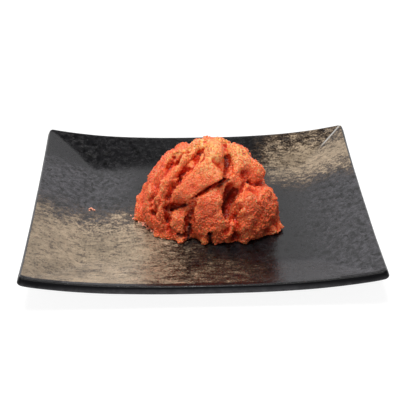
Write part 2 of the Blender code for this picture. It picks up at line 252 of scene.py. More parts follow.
class RoeSettings(bpy.types.PropertyGroup):
    grain: length_setting("Skin grain", "Cell size of the heap's skin", 0.56)
    crag_size: length_setting("Crag size", "Width of a crag", 3.2)
    crag_relief: length_setting("Crag relief", "Height of the crags", 0.8)
    clump_size: length_setting("Clump size", "Width of a clump of eggs", 2.4)
    clump_relief: length_setting("Clump relief", "Height of the clumps", 0.5)
    crack_spacing: length_setting("Crack spacing", "Distance between small cracks", 8)
    crack_depth: length_setting("Crack depth", "Depth of the small cracks", 0.5)
    egg_size: length_setting("Egg size", "Width of one egg", 1.2)
    egg_relief: length_setting("Egg relief", "Height of the eggs in the skin", 0.42)
    egg_lift: length_setting("Egg lift", "Height of a loose egg's middle over the skin", -0.06)
    eggs_per_area: FloatProperty(
        name="Loose eggs", description="Loose eggs on a square metre of skin", default=6.5e5
    )
    seed: IntProperty(name="Seed", description="Draw of the loose eggs", default=7)
    flesh: color_setting("Flesh", "Orange of the roe in the light", 0.86, 0.175, 0.06)
    # Hollow is the red of the painted shade in the roe's cracks and hollows
    hollow: color_setting("Hollow", "Red of the roe in its cracks", 0.62, 0.04, 0.008)
    # The pale egg colour is both some eggs' own lighter tone and a painted highlight on ridges
    pale: color_setting("Pale egg", "Drier eggs on the outside", 0.95, 0.3, 0.115)


class StageSettings(bpy.types.PropertyGroup):
    key_power: power_setting("Key light", "Power of the light over the table", 9.6)
    back_power: power_setting("Back light", "Power of the broad light at the back", 3.3)
    fill_power: power_setting("Fill light", "Power of the soft light at the front left", 1.1)
    sky: FloatProperty(name="Room", description="Brightness of the room", default=0.08)
    wall: FloatProperty(
        name="Back wall", description="Brightness of the room's wall behind the table", default=0.8
    )
    table: color_setting("Table", "Colour of the table top", 0.2, 0.2, 0.2)


# Node trees


def add_node(tree, kind, inputs=None, **settings):
    """Adds a node, sets its properties, and fills its inputs with values or links."""
    node = tree.nodes.new(kind)
    node.location = (200 * (len(tree.nodes) % 12), -220 * (len(tree.nodes) // 12))
    for name, value in settings.items():
        setattr(node, name, value)
    for key, value in (inputs or {}).items():
        if isinstance(value, bpy.types.NodeSocket):
            tree.links.new(value, node.inputs[key])
        else:
            node.inputs[key].default_value = value
    return node


def result_of(tree, kind, inputs=None, **settings):
    """Adds a node and gives its first output."""
    return add_node(tree, kind, inputs, **settings).outputs[0]


def calc(tree, operation, *values):
    """A Math node on sockets or numbers, as its output."""
    return result_of(tree, "ShaderNodeMath", dict(enumerate(values)), operation=operation)


def minus(tree, first, second):
    """The first value less the second."""
    return calc(tree, "SUBTRACT", first, second)


def ratio(tree, first, second):
    """The first value divided by the second."""
    return calc(tree, "DIVIDE", first, second)


def vector_calc(tree, operation, *values):
    """A Vector Math node on sockets or vectors, as its vector output."""
    return result_of(tree, "ShaderNodeVectorMath", dict(enumerate(values)), operation=operation)


def scaled(tree, vector, factor):
    """A vector times a number."""
    inputs = {"Vector": vector, "Scale": factor}
    return result_of(tree, "ShaderNodeVectorMath", inputs, operation="SCALE")


def axes_of(tree, vector):
    """A vector's x, y and z."""
    return add_node(tree, "ShaderNodeSeparateXYZ", {"Vector": vector}).outputs


def product(tree, *values):
    """All of the values multiplied."""
    result = values[0]
    for value in values[1:]:
        result = calc(tree, "MULTIPLY", result, value)
    return result


def swung(tree, value, amount, middle):
    """A middle value, raised or lowered by an amount times a texture's distance from 0.5."""
    return calc(tree, "MULTIPLY_ADD", minus(tree, value, 0.5), amount, middle)


def placed(tree, geometry, **where):
    """Geometry moved by an Offset or to a Position."""
    return result_of(tree, "GeometryNodeSetPosition", {"Geometry": geometry, **where})


def raised(tree, geometry, height):
    """Geometry moved up by a height."""
    lift = result_of(tree, "ShaderNodeCombineXYZ", {"Z": height})
    return placed(tree, geometry, Offset=lift)


def strayed(tree, place, scale, detail, reach):
    """A place moved off by a noise, so that what follows it loses its straight lines."""
    inputs = {"Vector": place, "Scale": scale, "Detail": detail}
    drift = add_node(tree, "ShaderNodeTexNoise", inputs).outputs[1]
    stray = scaled(tree, vector_calc(tree, "SUBTRACT", drift, (0.5, 0.5, 0.5)), reach)
    return vector_calc(tree, "ADD", place, stray)


def named_value(tree, name):
    """A stored value of the geometry."""
    return result_of(tree, "GeometryNodeInputNamedAttribute", {"Name": name}, data_type="FLOAT")


def noted(tree, geometry, name, value, domain):
    """Geometry with a value stored on it under a name."""
    inputs = {"Geometry": geometry, "Name": name, "Value": value}
    return result_of(
        tree, "GeometryNodeStoreNamedAttribute", inputs, data_type="FLOAT", domain=domain
    )


def painted_value(tree, name):
    """A stored value of the mesh, in a material."""
    return add_node(tree, "ShaderNodeAttribute", attribute_name=name).outputs["Fac"]


def kept_between(tree, place, lowest, highest):
    """A place with its height kept between two levels."""
    axes = axes_of(tree, place)
    level = calc(tree, "MAXIMUM", calc(tree, "MINIMUM", axes[2], highest), lowest)
    return result_of(tree, "ShaderNodeCombineXYZ", {"X": axes[0], "Y": axes[1], "Z": level})


def ranged(tree, value, low, high, to_low=0.0, to_high=1.0, smooth=True):
    """A value's place between low and high, as a number from to_low to to_high."""
    inputs = {"Value": value, "From Min": low, "From Max": high, "To Min": to_low, "To Max": to_high}
    kind = "SMOOTHSTEP" if smooth else "LINEAR"
    return result_of(tree, "ShaderNodeMapRange", inputs, interpolation_type=kind)


def mixed(tree, factor, first, second):
    """Two colours mixed by a factor."""
    inputs = {0: factor, 6: first, 7: second}
    return add_node(tree, "ShaderNodeMix", inputs, data_type="RGBA").outputs[2]


def noise_of(tree, place, scale, detail=2.0, roughness=0.5, distortion=0.0):
    """A noise texture's value at a place."""
    inputs = {"Vector": place, "Scale": scale, "Detail": detail, "Roughness": roughness}
    return result_of(tree, "ShaderNodeTexNoise", {**inputs, "Distortion": distortion})


def cells_of(tree, place, scale, output="Distance", feature="F1"):
    """A cell texture's output at a place."""
    inputs = {"Vector": place, "Scale": scale}
    return add_node(tree, "ShaderNodeTexVoronoi", inputs, feature=feature).outputs[output]


def geometry_tree(name, **sockets):
    """A geometry node tree with a mesh in and out and named inputs, each with its default."""
    tree = bpy.data.node_groups.new(name, "GeometryNodeTree")
    tree.interface.new_socket("Geometry", in_out="INPUT", socket_type="NodeSocketGeometry")
    for key, default in sockets.items():
        kind = "NodeSocketInt" if isinstance(default, int) else "NodeSocketFloat"
        label = key.replace("_", " ")
        tree.interface.new_socket(label, in_out="INPUT", socket_type=kind).default_value = default
    tree.interface.new_socket("Geometry", in_out="OUTPUT", socket_type="NodeSocketGeometry")
    return tree, tree.nodes.new("NodeGroupInput").outputs


def finish_tree(tree, geometry, material):
    """Realizes the instances, shades them smooth, sets the material and ends the tree."""
    real = add_node(tree, "GeometryNodeRealizeInstances", {"Geometry": geometry})
    smooth = add_node(tree, "GeometryNodeSetShadeSmooth", {"Geometry": real.outputs[0]})
    painted = add_node(
        tree, "GeometryNodeSetMaterial", {"Geometry": smooth.outputs[0], "Material": material}
    )
    add_node(tree, "NodeGroupOutput", {"Geometry": painted.outputs[0]})


def run_tree(item, tree, settings=None, **values):
    """Runs a node tree on an object and keeps the result as its plain mesh.

    An input takes its value from the values, or else from the setting of its name.
    """
    grow = item.modifiers.new(tree.name, "NODES")
    grow.node_group = tree
    for entry in tree.interface.items_tree:
        if entry.item_type == "SOCKET" and entry.in_out == "INPUT":
            key = entry.name.replace(" ", "_")
            if key in values:
                grow[entry.identifier] = values[key]
            elif hasattr(settings, key.lower()):
                grow[entry.identifier] = getattr(settings, key.lower())
    bake_modifiers(item)


# Objects


def bake_modifiers(item):
    """Replaces an object's mesh by its evaluated one and drops its modifiers."""
    bpy.context.view_layer.update()
    graph = bpy.context.evaluated_depsgraph_get()
    shape = bpy.data.meshes.new_from_object(item.evaluated_get(graph))
    item.modifiers.clear()
    if len(shape.materials) > 1 and shape.materials[0] is None:
        shape.materials.pop(index=0)
    item.data = shape
    shape.name = item.name


def new_object(name, data):
    """A new object at the world's origin. An earlier one of that name is removed first."""
    old = bpy.data.objects.get(name)
    if old:
        bpy.data.objects.remove(old, do_unlink=True)
    item = bpy.data.objects.new(name, data)
    bpy.context.scene.collection.objects.link(item)
    return item


def new_piece(name, shape=None):
    """A new mesh object."""
    return new_object(name, shape or bpy.data.meshes.new(name))


@contextmanager
def editing(item):
    """An object's mesh for editing, written back at the end."""
    mesh = bmesh.new()
    mesh.from_mesh(item.data)
    yield mesh
    mesh.to_mesh(item.data)
    mesh.free()


def vectors_of(shape, kind):
    """The places or the normals of a mesh's vertices."""
    vectors = np.zeros(len(shape.vertices) * 3)
    shape.vertices.foreach_get(kind, vectors)
    return vectors.reshape(-1, 3)


def unit(vector):
    """A vector's direction."""
    return vector / np.linalg.norm(vector)


def corners_of(shape):
    """The places of a mesh's vertices, and the same in mm over the plate's floor."""
    places = vectors_of(shape, "co")
    return places, places / MM - (0, 0, FLOOR_HEIGHT / MM)


def move_corners(shape, places):
    """Moves a mesh's vertices to new places."""
    shape.vertices.foreach_set("co", places.ravel())
    shape.update()


def welded_copy(node_name, name):
    """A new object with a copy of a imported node's mesh, its loose triangles joined."""
    item = new_piece(name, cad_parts[node_name].data.copy())
    with editing(item) as mesh:
        bmesh.ops.remove_doubles(mesh, verts=mesh.verts, dist=0.001 * MM)
    item.data.materials.clear()
    return item


def voxel_remesh(item, size):
    """Gives an object an even, closed skin of cells of one size."""
    skin = item.modifiers.new("skin", "REMESH")
    skin.mode = "VOXEL"
    skin.voxel_size = size
    bake_modifiers(item)


# Materials


def new_material(name, **constants):
    """A material with its Principled shader's constants set, and its tree, shader and object place."""
    old = bpy.data.materials.get(name)
    if old:
        bpy.data.materials.remove(old)
    material = bpy.data.materials.new(name)
    material.use_nodes = True
    tree = material.node_tree
    shader = tree.nodes["Principled BSDF"]
    for key, value in constants.items():
        shader.inputs[key.replace("_", " ")].default_value = value
    place = add_node(tree, "ShaderNodeTexCoord").outputs["Object"]
    return material, tree, shader, place


def feed(tree, shader, **values):
    """Links values to a shader's inputs."""
    for key, value in values.items():
        tree.links.new(value, shader.inputs[key.replace("_", " ")])


def face_direction(tree):
    """The surface's direction in the piece's own axes."""
    return add_node(tree, "ShaderNodeTexCoord").outputs["Normal"]


def bumped(tree, shader, height, distance, strength=1.0, after=None):
    """Adds a bump of a height to the shader's normal."""
    inputs = {"Height": height, "Distance": distance, "Strength": strength}
    if after:
        inputs["Normal"] = after
    bump = add_node(tree, "ShaderNodeBump", inputs)
    tree.links.new(bump.outputs[0], shader.inputs["Normal"])
    return bump.outputs[0]


def zone_of(tree, place, x_from, x_to, y_from, y_to):
    """A soft zone of the plate: 1 past x_to and y_to, 0 before x_from and y_from, in mm."""
    axes = axes_of(tree, place)
    along = ranged(tree, axes[0], x_from * MM, x_to * MM)
    return product(tree, along, ranged(tree, axes[1], y_from * MM, y_to * MM))


def gold_cover(tree, place):
    """How thickly the gold lies: most at the front left, in grains at the right and back."""
    adrift = strayed(tree, place, 40, 3, 16 * MM)
    front_left = zone_of(tree, adrift, 22, -40, 20, -26)
    front_right = zone_of(tree, adrift, 66, 5, -30, -62)
    back_right = zone_of(tree, adrift, 22, 60, 12, 50)
    back_wall = zone_of(tree, adrift, -200, -199, 56, 76)
    cover = calc(tree, "MAXIMUM", front_left, product(tree, front_right, 0.5))
    cover = calc(tree, "MAXIMUM", cover, back_right)
    cover = minus(tree, cover, product(tree, back_wall, 0.4))
    return calc(tree, "MINIMUM", calc(tree, "MAXIMUM", cover, 0.0), 1.0)


def glaze_material(plate):
    """Black glaze, gold at the front left and back right, bare clay under the foot, with a painted
    sheen on the floor, a painted highlight in a valley and a painted reflection on the outer sides.
    """
    material, tree, shader, place = new_material("glaze", IOR=1.5)
    axes = axes_of(tree, place)
    streaks = vector_calc(tree, "MULTIPLY", place, (0.35, 1, 1))
    streak = noise_of(tree, streaks, 480, 3, 0.6, 0.4)
    grain = noise_of(tree, place, 850, 2, 0.7)
    soft = noise_of(tree, place, 110, 4, 0.65)
    speckle = swung(tree, streak, 1.8, 0)
    speckle = swung(tree, grain, 1.8, speckle)
    speckle = swung(tree, soft, 1.6, speckle)
    cover = gold_cover(tree, place)
    uneven = product(tree, cover, minus(tree, 1.25, cover), 2)
    cover = calc(tree, "MULTIPLY_ADD", speckle, uneven, cover)
    inside = []
    for axis, half in ((0, plate.length / 2), (1, plate.depth / 2)):
        out = calc(tree, "ABSOLUTE", axes[axis])
        inside.append(ranged(tree, out, half - 0.2 * MM, half - 0.8 * MM))
    inside = product(tree, *inside)
    facing = axes_of(tree, face_direction(tree))[2]
    upper_face = product(tree, inside, ranged(tree, facing, 0.1, 0.4))
    front = -plate.depth / 2
    off_front = ranged(tree, axes[1], front + 3.2 * MM, front + 4.2 * MM)
    gold_part = calc(tree, "POWER", ranged(tree, cover, 0, 0.95, smooth=False), 1.5)
    gold_part = product(tree, gold_part, upper_face, off_front)
    gold = add_node(tree, "ShaderNodeValToRGB", {"Fac": cover})
    broad = noise_of(tree, place, 48, 3, 0.6)
    stops = gold.color_ramp.elements
    stops[0].color = THIN_GOLD
    stops[1].color = THICK_GOLD
    stops.new(0.5).color = plate.gold
    pits = noise_of(tree, place, 300, 2, 0.5)
    mottle = noise_of(tree, place, 280, 5, 0.75)
    # Partly the glaze's own mottle, partly a painted sheen: a lighter bluish grey over the floor's left
    # and right, kept off the back wall and the front
    toward_right = ranged(tree, axes[0], 44 * MM, 92 * MM)
    toward_left = ranged(tree, axes[0], -30 * MM, -60 * MM, 0.1, 1)
    sheen_and_mottle = product(
        tree,
        calc(tree, "MAXIMUM", toward_right, toward_left),
        ranged(tree, axes[1], 42 * MM, 56 * MM, 1, 0.1),
        ranged(tree, mottle, 0.36, 0.64),
        off_front,
    )
    black = mixed(tree, sheen_and_mottle, plate.glaze, SHEEN_AND_MOTTLE_GLAZE)
    black = mixed(tree, ranged(tree, pits, 0.42, 0.32), black, PIT_BLACK)
    lightness = swung(tree, streak, 1.5, 1.04)
    lightness = swung(tree, broad, 1.8, lightness)
    lightness = swung(tree, grain, 1.2, lightness)
    lightness = product(tree, lightness, ranged(tree, axes[0], -98 * MM, -62 * MM, 0.72, 1))
    color = mixed(tree, gold_part, black, scaled(tree, gold.outputs[0], lightness))
    # Painted highlight: a pale line down the back right valley, where the glaze catches the light
    valley = (plate.length - plate.depth) / 2
    off_valley = minus(tree, minus(tree, axes[0], axes[1]), valley)
    crease_highlight = ranged(tree, calc(tree, "ABSOLUTE", off_valley), 1.1 * MM, 0.4 * MM)
    crease_highlight = product(tree, crease_highlight, ranged(tree, axes[0], 83 * MM, 88 * MM), upper_face)
    color = mixed(tree, crease_highlight, color, CREASE_HIGHLIGHT)
    # Painted reflection: the plate's outer sideways faces a little greyer than the black glaze
    edge = product(tree, minus(tree, 1, inside), ranged(tree, facing, 0.5, 0.2))
    color = mixed(tree, edge, color, SIDE_REFLECTION_GLAZE)
    bare = ranged(tree, axes[2], 1.0 * MM, 0.6 * MM)
    clay = mixed(tree, noise_of(tree, place, 700, 3), plate.clay, LIGHT_CLAY)
    shine = ranged(tree, mottle, 0.35, 0.65, 0.12, 0.3)
    shine = calc(tree, "MULTIPLY_ADD", gold_part, 0.12, shine)
    shine = calc(tree, "MAXIMUM", shine, ranged(tree, inside, 1, 0, 0, 0.36))
    shine = calc(tree, "MAXIMUM", shine, product(tree, bare, 0.85))
    color = mixed(tree, bare, color, clay)
    feed(tree, shader, Base_Color=color, Roughness=shine, Metallic=product(tree, gold_part, 0.3))
    ripple = bumped(tree, shader, mottle, 0.16 * MM, 0.9)
    bumped(tree, shader, calc(tree, "MULTIPLY_ADD", streak, 0.5, pits), 0.1 * MM, 0.8, ripple)
    return material


def rim_material():
    """The thick black glaze on the rounded rim, with a painted grey reflection of the pale table on its
    outer sides.
    """
    material, tree, shader, place = new_material(
        "rim_glaze", IOR=1.5, Roughness=0.42, Specular_IOR_Level=0.1
    )
    facing = axes_of(tree, face_direction(tree))[2]
    mottle = noise_of(tree, place, 280, 4, 0.7)
    # Painted reflection: the sideways faces greyer, mottled
    side_reflection = mixed(tree, ranged(tree, mottle, 0.35, 0.65), *RIM_SIDE_REFLECTION)
    color = mixed(tree, ranged(tree, facing, 0.4, 0.1), RIM_TOP, side_reflection)
    feed(tree, shader, Base_Color=color)
    bumped(tree, shader, mottle, 0.12 * MM, 0.8)
    return material


def roe_color(tree, place, roe, tone):
    """The roe's colour: orange with a tone for each egg; lighter on ridges and the top as painted
    highlight and painted light, and redder and darker in hollows, low down and in the dark gaps as
    painted shade.
    """
    depth = painted_value(tree, "hollow")
    wander = noise_of(tree, place, 260, 3, 0.6)
    patches = noise_of(tree, place, 55, 3, 0.6)
    color = mixed(tree, ranged(tree, patches, 0.35, 0.68), roe.flesh, RED_FLESH)
    color = mixed(tree, product(tree, tone, 0.35), color, roe.pale)
    height = axes_of(tree, place)[2]
    # Painted light: the top of the heap lighter and yellower, where the light falls from above
    color = mixed(tree, ranged(tree, height, 46 * MM, 59 * MM, 0, 0.9), color, LIT_TOP_FLESH)
    # Painted shade: the lower heap darker and redder toward the foot
    color = mixed(tree, ranged(tree, height, 26 * MM, 8 * MM, 0, 0.15), color, SHADED_FOOT_FLESH)
    gap = painted_value(tree, "gap")
    sunk = swung(tree, wander, 1.6 * MM, depth)
    # Painted highlight: ridges lighter, toward the pale egg colour
    ridge = product(tree, ranged(tree, sunk, -0.1 * MM, -1.0 * MM), 0.8)
    color = mixed(tree, ridge, color, roe.pale)
    # Painted shade: hollows redder, and the deepest places near black
    color = mixed(tree, ranged(tree, sunk, -0.2 * MM, 0.7 * MM), color, roe.hollow)
    color = mixed(tree, ranged(tree, depth, 0.6 * MM, 1.8 * MM, 0, 0.85), color, DEEP_SHADE_FLESH)
    # Painted shadow in the dark gaps
    return mixed(tree, gap, color, GAP_SHADE_FLESH)


def roe_material(roe):
    """The heap's moist skin, beaded with eggs."""
    material, tree, shader, place = new_material(
        "roe",
        Subsurface_Weight=0.85,
        Subsurface_Scale=1.0,
        Subsurface_Radius=(3.2 * MM, 1.1 * MM, 0.6 * MM),
        IOR=1.38,
    )
    egg = cells_of(tree, place, 1 / roe.egg_size)
    egg_color = cells_of(tree, place, 1 / roe.egg_size, "Color")
    tone = axes_of(tree, egg_color)[0]
    color = roe_color(tree, place, roe, tone)
    shine = ranged(tree, noise_of(tree, place, 240, 2), 0.3, 0.7, 0.25, 0.45)
    feed(tree, shader, Base_Color=color, Roughness=shine)
    beads = ranged(tree, egg, 0.0, 0.6, 1.0, 0.0)
    bumped(tree, shader, beads, 0.35 * MM, 0.6)
    return material


def egg_material(roe, name, color, share=0.3):
    """The loose eggs' moist skins. The tone attribute makes one egg lighter than the next."""
    material, tree, shader, place = new_material(name, IOR=1.38, Roughness=0.3)
    tone = painted_value(tree, "tone")
    flesh = roe_color(tree, place, roe, tone)
    moist = vector_calc(tree, "MULTIPLY", mixed(tree, share, flesh, color), EGG_TINT)
    feed(tree, shader, Base_Color=moist)
    bumped(tree, shader, noise_of(tree, place, 900, 2), 0.05 * MM, 0.4)
    return material


def table_material(stage):
    """A pale table top that glows a little, so that it goes white as in a studio."""
    return new_material(
        "table",
        Roughness=0.9,
        Base_Color=stage.table,
        Emission_Color=(1, 1, 1, 1),
        Emission_Strength=0.9,
    )[0]


# Plate


def plate_face_tree(material):
    """Shapes a grid into the plate's upper face: a floor and four walls that meet in valleys."""
    tree, given = geometry_tree(
        "plate face",
        Length=0.2,
        Depth=0.16,
        Cell=0.0025,
        Floor_Height=0.008,
        Corner_Rise=0.0157,
        Long_Dip=0.0084,
        Short_Dip=0.0026,
        Wall_Run=0.031,
    )
    columns, rows = (
        calc(tree, "ADD", calc(tree, "ROUND", ratio(tree, given[side], given["Cell"])), 1)
        for side in ("Length", "Depth")
    )
    size = {"Size X": given["Length"], "Size Y": given["Depth"]}
    cells = {"Vertices X": columns, "Vertices Y": rows}
    grid = result_of(tree, "GeometryNodeMeshGrid", {**size, **cells})
    place = result_of(tree, "GeometryNodeInputPosition")
    axes = axes_of(tree, place)
    rises = []
    walls = []
    for axis, size, dip in ((0, "Length", "Long Dip"), (1, "Depth", "Short Dip")):
        half = ratio(tree, given[size], 2)
        out = calc(tree, "ABSOLUTE", axes[axis])
        hang = minus(tree, 1, calc(tree, "POWER", ratio(tree, out, half), 2.7))
        rises.append(minus(tree, given["Corner Rise"], product(tree, given[dip], hang)))
        inward = ratio(tree, minus(tree, half, out), given["Wall Run"])
        walls.append(minus(tree, 1, inward))
    end_wall = product(tree, rises[1], walls[0])
    side_wall = product(tree, rises[0], walls[1])
    wall = calc(tree, "SMOOTH_MAX", end_wall, side_wall, 1.4 * MM)
    height = calc(tree, "SMOOTH_MAX", wall, 0, 3 * MM)
    on_wall = calc(tree, "MINIMUM", ratio(tree, height, 15 * MM), 1)
    wave = product(tree, swung(tree, noise_of(tree, place, 30, 1), 0.6 * MM, 0), on_wall)
    height = calc(tree, "ADD", calc(tree, "ADD", height, given["Floor Height"]), wave)
    finish_tree(tree, raised(tree, grid, height), material)
    return tree


def rounded_rectangle(tree, width, height, radius, steps):
    """A rectangle's outline with rounded corners."""
    sides = {"Width": width, "Height": height}
    curve = result_of(tree, "GeometryNodeCurvePrimitiveQuadrilateral", sides)
    rounding = {"Curve": curve, "Count": steps, "Radius": radius, "Limit Radius": True}
    return result_of(tree, "GeometryNodeFilletCurve", rounding, mode="POLY")


def plate_foot_tree(material):
    """The foot: a rounded bar swept round a rectangle with round corners."""
    tree, given = geometry_tree(
        "plate foot",
        Length=0.116,
        Depth=0.078,
        Corner=0.016,
        Width=0.005,
        Height=0.0051,
        Rounding=0.0007,
    )
    half_width = ratio(tree, given["Width"], 2)
    path = rounded_rectangle(
        tree,
        minus(tree, given["Length"], given["Width"]),
        minus(tree, given["Depth"], given["Width"]),
        minus(tree, given["Corner"], half_width),
        14,
    )
    bar = rounded_rectangle(tree, given["Width"], given["Height"], given["Rounding"], 4)
    ring = result_of(tree, "GeometryNodeCurveToMesh", {"Curve": path, "Profile Curve": bar})
    finish_tree(tree, raised(tree, ring, ratio(tree, given["Height"], 2)), material)
    return tree


def split_along_valleys(mesh, length, depth):
    """Splits the cells on the plate's diagonals so that an edge follows each valley."""
    for face in list(mesh.faces):
        runs = {}
        for vertex in face.verts:
            from_end = length / 2 - abs(vertex.co.x)
            from_side = depth / 2 - abs(vertex.co.y)
            if abs(from_end - from_side) < PLATE_TOLERANCE:
                runs[from_end] = vertex
        if len(runs) == 2:
            bmesh.ops.connect_verts(mesh, verts=list(runs.values()))


def bevel_rim(mesh):
    """Rounds the plate's four corners, then the upper and the lower edge of its rim."""

    def sharp(edge):
        return len(edge.link_faces) == 2 and edge.calc_face_angle() > math.radians(45)

    def tilts(edge):
        return sorted(face.normal.z for face in edge.link_faces)

    for choose, rounding, steps in (
        (lambda low, high: -0.6 < low and high < 0.6, 2.4, 5),
        (lambda low, high: low < 0.6 < high, 2.2, 5),
        (lambda low, high: low < -0.6 < high, 0.9, 3),
    ):
        bmesh.ops.bevel(
            mesh,
            geom=[edge for edge in mesh.edges if sharp(edge) and choose(*tilts(edge))],
            offset=rounding * MM,
            segments=steps,
            profile=0.5,
            affect="EDGES",
            clamp_overlap=True,
        )


def make_plate(plate):
    """The plate: its upper face, its wall below, the rounded rim and the foot."""
    material = glaze_material(plate)
    item = new_piece("glazed_plate")
    run_tree(item, plate_face_tree(material), plate, Floor_Height=FLOOR_HEIGHT)
    with editing(item) as mesh:
        split_along_valleys(mesh, plate.length, plate.depth)
    wall = item.modifiers.new("thickness", "SOLIDIFY")
    wall.thickness = plate.thickness
    wall.offset = -1
    wall.use_even_offset = True
    bake_modifiers(item)
    foot = new_piece("foot")
    run_tree(foot, plate_foot_tree(material))
    with editing(item) as mesh:
        bevel_rim(mesh)
        mesh.from_mesh(foot.data)
        bmesh.ops.recalc_face_normals(mesh, faces=mesh.faces)
        for face in mesh.faces:
            face.smooth = True
            face.material_index = 0
    bpy.data.objects.remove(foot)
    item.data.materials.append(rim_material())
    for face in item.data.polygons:
        past_end = abs(face.center.x) - plate.length / 2
        past_side = abs(face.center.y) - plate.depth / 2
        on_edge = max(past_end, past_side) > -0.6 * MM and -0.9 < face.normal.z < 0.55
        on_front = face.center.y < 0 and past_side > -2.4 * MM and -0.9 < face.normal.z < 0.93
        if on_edge or on_front:
            face.material_index = 1
    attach(item, "root")
    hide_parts("plate")


# Roe


def sunk_depth(tree, place, normal, rounds):
    """How deep each place lies below its surroundings, which reach further with more rounds."""
    inputs = {"Value": place, "Iterations": rounds}
    around = result_of(tree, "GeometryNodeBlurAttribute", inputs, data_type="FLOAT_VECTOR")
    outward = vector_calc(tree, "SUBTRACT", around, place)
    sunk = add_node(tree, "ShaderNodeVectorMath", {0: outward, 1: normal}, operation="DOT_PRODUCT")
    return sunk.outputs["Value"]


def roe_skin_tree(material):
    """Roughens the heap's skin into crags and eggs, and notes how deep each place lies."""
    tree, given = geometry_tree(
        "roe skin",
        Crag_Size=0.0032,
        Crag_Relief=0.0017,
        Clump_Size=0.0026,
        Clump_Relief=0.001,
        Crack_Spacing=0.009,
        Crack_Depth=0.0015,
        Egg_Size=0.001,
        Egg_Relief=0.0004,
        Highest=0.06,
        Lowest=0.008,
    )
    place = result_of(tree, "GeometryNodeInputPosition")
    normal = result_of(tree, "GeometryNodeInputNormal")
    ridge = ranged(tree, sunk_depth(tree, place, normal, 40), 0.25 * MM, -0.5 * MM, 0.35, 1.3)
    crag_scale = ratio(tree, 1, given["Crag Size"])
    crag = minus(tree, noise_of(tree, place, crag_scale, 2.5, 0.6, 0.3), 0.56)
    clump_scale = ratio(tree, 1, given["Clump Size"])
    clump = minus(tree, 0.42, cells_of(tree, place, clump_scale))
    rough = product(tree, crag, given["Crag Relief"])
    rough = calc(tree, "MULTIPLY_ADD", clump, given["Clump Relief"], rough)
    adrift = strayed(tree, place, 300, 2, 5 * MM)
    crack_scale = ratio(tree, 1, given["Crack Spacing"])
    crack = ranged(tree, cells_of(tree, adrift, crack_scale, feature="DISTANCE_TO_EDGE"), 0.11, 0.0)
    broken = ranged(tree, noise_of(tree, place, 70, 1), 0.42, 0.6)
    crack = product(tree, crack, broken, given["Crack Depth"])
    height = minus(tree, product(tree, rough, ridge), crack)
    shape = placed(tree, given["Geometry"], Offset=scaled(tree, normal, height))
    shape = noted(tree, shape, "hollow", sunk_depth(tree, place, normal, 60), "POINT")
    egg = cells_of(tree, place, ratio(tree, 1, given["Egg Size"]))
    bead = minus(tree, 0.35, egg)
    bead = product(tree, bead, given["Egg Relief"])
    shape = placed(tree, shape, Offset=scaled(tree, normal, bead))
    kept = kept_between(tree, place, given["Lowest"], given["Highest"])
    finish_tree(tree, placed(tree, shape, Position=kept), material)
    return tree


def egg_instances(tree, points, egg_size, seed):
    """Eggs of uneven size on points, each with a tone of its own."""
    form = {"Segments": 6, "Rings": 4, "Radius": ratio(tree, egg_size, 2)}
    egg = result_of(tree, "GeometryNodeMeshUVSphere", form)
    inputs = {"Points": points, "Instance": egg}
    size_seed = calc(tree, "ADD", seed, 1)
    ranges = {
        "Rotation": {"Max": (3.1, 3.1, 6.2), "Seed": seed},
        "Scale": {"Min": (0.7, 0.7, 0.62), "Max": (1.15, 1.15, 1.05), "Seed": size_seed},
    }
    for name, values in ranges.items():
        draw = add_node(tree, "FunctionNodeRandomValue", values, data_type="FLOAT_VECTOR")
        inputs[name] = draw.outputs[0]
    eggs = result_of(tree, "GeometryNodeInstanceOnPoints", inputs)
    tone_seed = {"Seed": calc(tree, "ADD", seed, 2)}
    tone = add_node(tree, "FunctionNodeRandomValue", tone_seed, data_type="FLOAT").outputs[1]
    return noted(tree, eggs, "tone", tone, "INSTANCE")


def egg_cover_tree(name, material):
    """Loose eggs strewn over a skin."""
    tree, given = geometry_tree(
        name,
        Egg_Size=0.001,
        Eggs_per_Area=4e5,
        Egg_Lift=0.0001,
        Highest=0.06,
        Lowest=0.008,
        Seed=1,
    )
    place = result_of(tree, "GeometryNodeInputPosition")
    over_floor = calc(tree, "GREATER_THAN", axes_of(tree, place)[2], given["Lowest"])
    off_gaps = calc(tree, "LESS_THAN", named_value(tree, "gap"), 0.45)
    hollow = named_value(tree, "hollow")
    strewn = add_node(
        tree,
        "GeometryNodeDistributePointsOnFaces",
        {
            "Mesh": given["Geometry"],
            "Selection": product(tree, over_floor, off_gaps),
            "Distance Min": product(tree, given["Egg Size"], 0.72),
            "Density Factor": ranged(tree, hollow, 0.4 * MM, -0.4 * MM, 0.25, 1),
            "Density Max": given["Eggs per Area"],
            "Seed": given["Seed"],
        },
        distribute_method="POISSON",
    ).outputs
    moved = vector_calc(tree, "ADD", place, scaled(tree, strewn["Normal"], given["Egg Lift"]))
    kept = kept_between(tree, moved, given["Lowest"], given["Highest"])
    points = placed(tree, strewn["Points"], Position=kept)
    finish_tree(tree, egg_instances(tree, points, given["Egg Size"], given["Seed"]), material)
    return tree


def egg_place_tree(name, material):
    """One egg at each of a mesh's points."""
    tree, given = geometry_tree(name, Egg_Size=0.001, Seed=1)
    points = result_of(tree, "GeometryNodeMeshToPoints", {"Mesh": given["Geometry"]})
    finish_tree(tree, egg_instances(tree, points, given["Egg Size"], given["Seed"]), material)
    return tree


